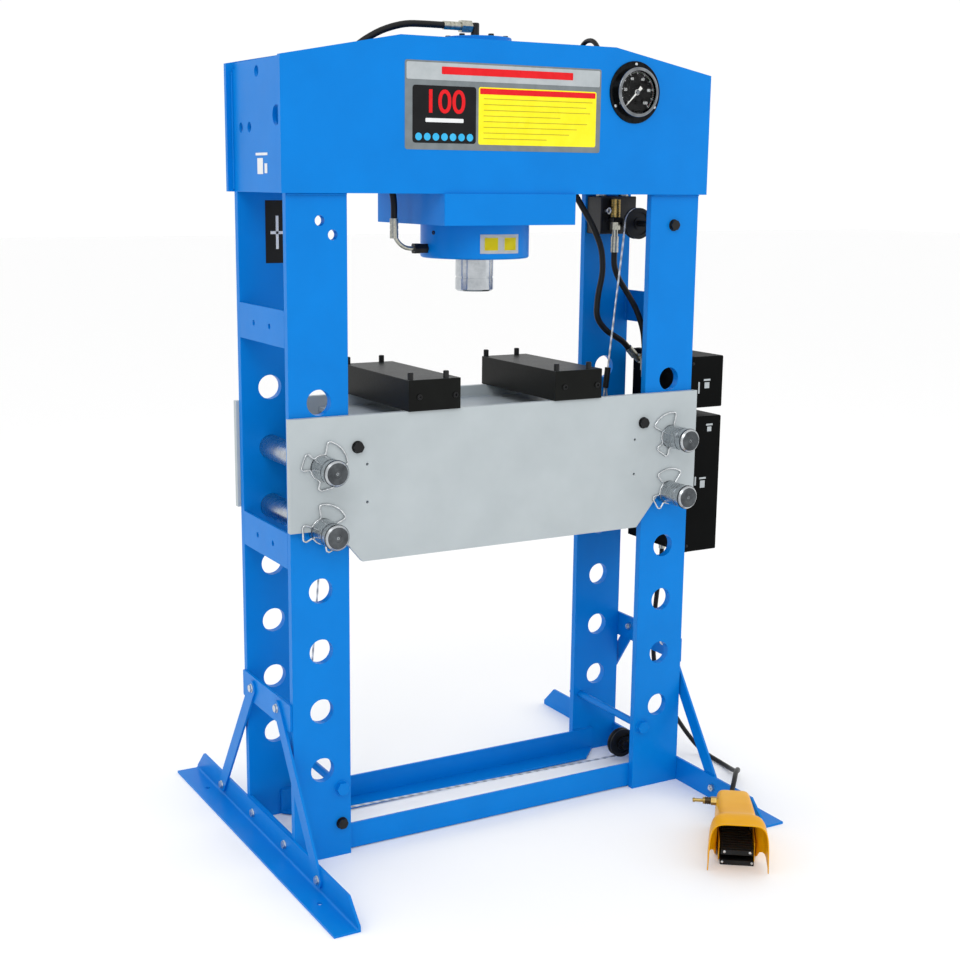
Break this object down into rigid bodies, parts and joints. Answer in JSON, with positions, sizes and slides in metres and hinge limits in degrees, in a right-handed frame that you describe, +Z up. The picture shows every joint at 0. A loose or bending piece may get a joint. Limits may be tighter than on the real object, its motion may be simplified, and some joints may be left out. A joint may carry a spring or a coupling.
{
  "type": "hydraulic workshop press",
  "caption": "H-frame hydraulic press with fixed top cylinder, pinned height-adjustable bed, pressing blocks, pressure gauge, air-driven pump and foot pedal.",
  "frame": {"origin": "on the floor, at the centre of the four anchor holes in the feet, straight under the ram", "axes": "+X to the right seen from the front, +Y to the rear, +Z up"},
  "size_m": [1.3981, 1.276, 2.0185],
  "materials": {
    "frame_paint": "gloss enamel over flat steel",
    "bed_paint": "light grey gloss enamel",
    "zinc_bolts": "bright zinc plating",
    "black_steel": "black oxide",
    "black_plastic": "matt",
    "wire_rope": "galvanised strand",
    "rope_sleeve": "matt",
    "gland_iron": "machined, oiled",
    "ram_chrome": "ground and hard chromed",
    "pin_steel": "turned, bright",
    "clip_wire": "spring wire, zinc plated",
    "block_steel": "satin black",
    "stud_steel": "black oxide",
    "gauge_case": "pressed steel",
    "gauge_chrome": "polished",
    "needle_white": "matt white",
    "gauge_glass": "clear",
    "valve_black": "black",
    "case_paint": "fine textured black",
    "pump_metal": "cast",
    "pedal_yellow": "gloss yellow",
    "pin_zinc": "zinc plating",
    "nipple_brass": "machined",
    "elbow_black": "black oxide",
    "hose_plating": "yellowish zinc",
    "hose_rubber": "matt"
  },
  "bodies": {
    "frame": {"air_nipple": "nipple_brass", "axle_bolts": "black_steel", "base_rails": "frame_paint", "bed_front_plate": "bed_paint", "bed_rear_plate": "bed_paint", "bed_web": "bed_paint", "block_studs": "stud_steel", "brace_bolts": "zinc_bolts", "case_mount": "case_paint", "cylinder_barrel": "frame_paint", "cylinder_cap": "frame_paint", "cylinder_carrier": "frame_paint", "cylinder_gland": "gland_iron", "foot_braces": "frame_paint", "foot_left": "frame_paint", "foot_right": "frame_paint", "frame_bolts": "frame_paint", "gauge_bezel": "gauge_chrome", "gauge_case": "gauge_case", "gauge_glass": "gauge_glass", "gauge_hose": "hose_rubber", "head_front_plate": "frame_paint", "head_rear_plate": "frame_paint", "head_side_plates": "frame_paint", "hose_elbows": "elbow_black", "hose_ends": "hose_plating", "lift_rope": "wire_rope", "pedal_base": "black_plastic", "pedal_hood": "pedal_yellow", "pedal_hose": "hose_rubber", "pedal_pin": "pin_zinc", "press_block_left": "block_steel", "press_block_right": "block_steel", "pulley_bracket": "black_steel", "pump_cases": "case_paint", "pump_unit": "pump_metal", "rope_sleeves": "rope_sleeve", "side_hose": "hose_rubber", "tie_plates": "frame_paint", "top_hose": "hose_rubber", "upright_front_left": "frame_paint", "upright_front_right": "frame_paint", "upright_rear_left": "frame_paint", "upright_rear_right": "frame_paint", "valve_block": "valve_black", "valve_hose": "hose_rubber"},
    "ram": {"ram": "ram_chrome"},
    "needle": {"gauge_needle": "needle_white"},
    "pulley_top": {"pulley_top": "black_plastic"},
    "pulley_low_right": {"pulley_low_right": "black_plastic"},
    "pulley_low_left": {"pulley_low_left": "black_plastic"},
    "treadle": {"pedal_treadle": "black_plastic"},
    "support_pin_upper_left": {"pin_upper_left": "pin_steel", "clip_upper_left": "clip_wire"},
    "support_pin_upper_right": {"pin_upper_right": "pin_steel", "clip_upper_right": "clip_wire"},
    "support_pin_lower_left": {"pin_lower_left": "pin_steel", "clip_lower_left": "clip_wire"},
    "support_pin_lower_right": {"pin_lower_right": "pin_steel", "clip_lower_right": "clip_wire"}
  },
  "joints": [
    {"name": "ram_slide", "type": "slide", "parent": "frame", "child": "ram", "axis": [0, 0, -1], "range_m": [0, 0.25]},
    {"name": "pin_upper_left_slide", "type": "slide", "parent": "frame", "child": "support_pin_upper_left", "axis": [0, -1, 0], "range_m": [0, 0.37]},
    {"name": "pin_upper_right_slide", "type": "slide", "parent": "frame", "child": "support_pin_upper_right", "axis": [0, -1, 0], "range_m": [0, 0.37]},
    {"name": "pin_lower_left_slide", "type": "slide", "parent": "frame", "child": "support_pin_lower_left", "axis": [0, -1, 0], "range_m": [0, 0.37]},
    {"name": "pin_lower_right_slide", "type": "slide", "parent": "frame", "child": "support_pin_lower_right", "axis": [0, -1, 0], "range_m": [0, 0.37]},
    {"name": "needle_turn", "type": "hinge", "parent": "frame", "child": "needle", "pos_m": [0.353, -0.184, 1.855], "axis": [0, 1, 0], "range_deg": [0, 270], "stiffness_Nm_per_rad": 0.004, "springref_deg": -5.73},
    {"name": "pulley_top_spin", "type": "hinge", "parent": "frame", "child": "pulley_top", "pos_m": [0.498, 0, 1.53], "axis": [0, 1, 0], "continuous": true},
    {"name": "pulley_low_right_spin", "type": "hinge", "parent": "frame", "child": "pulley_low_right", "pos_m": [0.498, 0, 0.068], "axis": [0, 1, 0], "continuous": true},
    {"name": "pulley_low_left_spin", "type": "hinge", "parent": "frame", "child": "pulley_low_left", "pos_m": [-0.45, 0, 0.085], "axis": [0, 1, 0], "continuous": true},
    {"name": "treadle_press", "type": "hinge", "parent": "frame", "child": "treadle", "pos_m": [0.45127, -0.56374, 0.06], "axis": [0.8111, -0.585, 0], "range_deg": [0, 6], "stiffness_Nm_per_rad": 4, "springref_deg": -14.32}
  ],
  "couplings": [
    {"joint": "pulley_low_right_spin", "follows": "pulley_top_spin", "ratio": 1},
    {"joint": "pulley_low_left_spin", "follows": "pulley_top_spin", "ratio": 1}
  ]
}
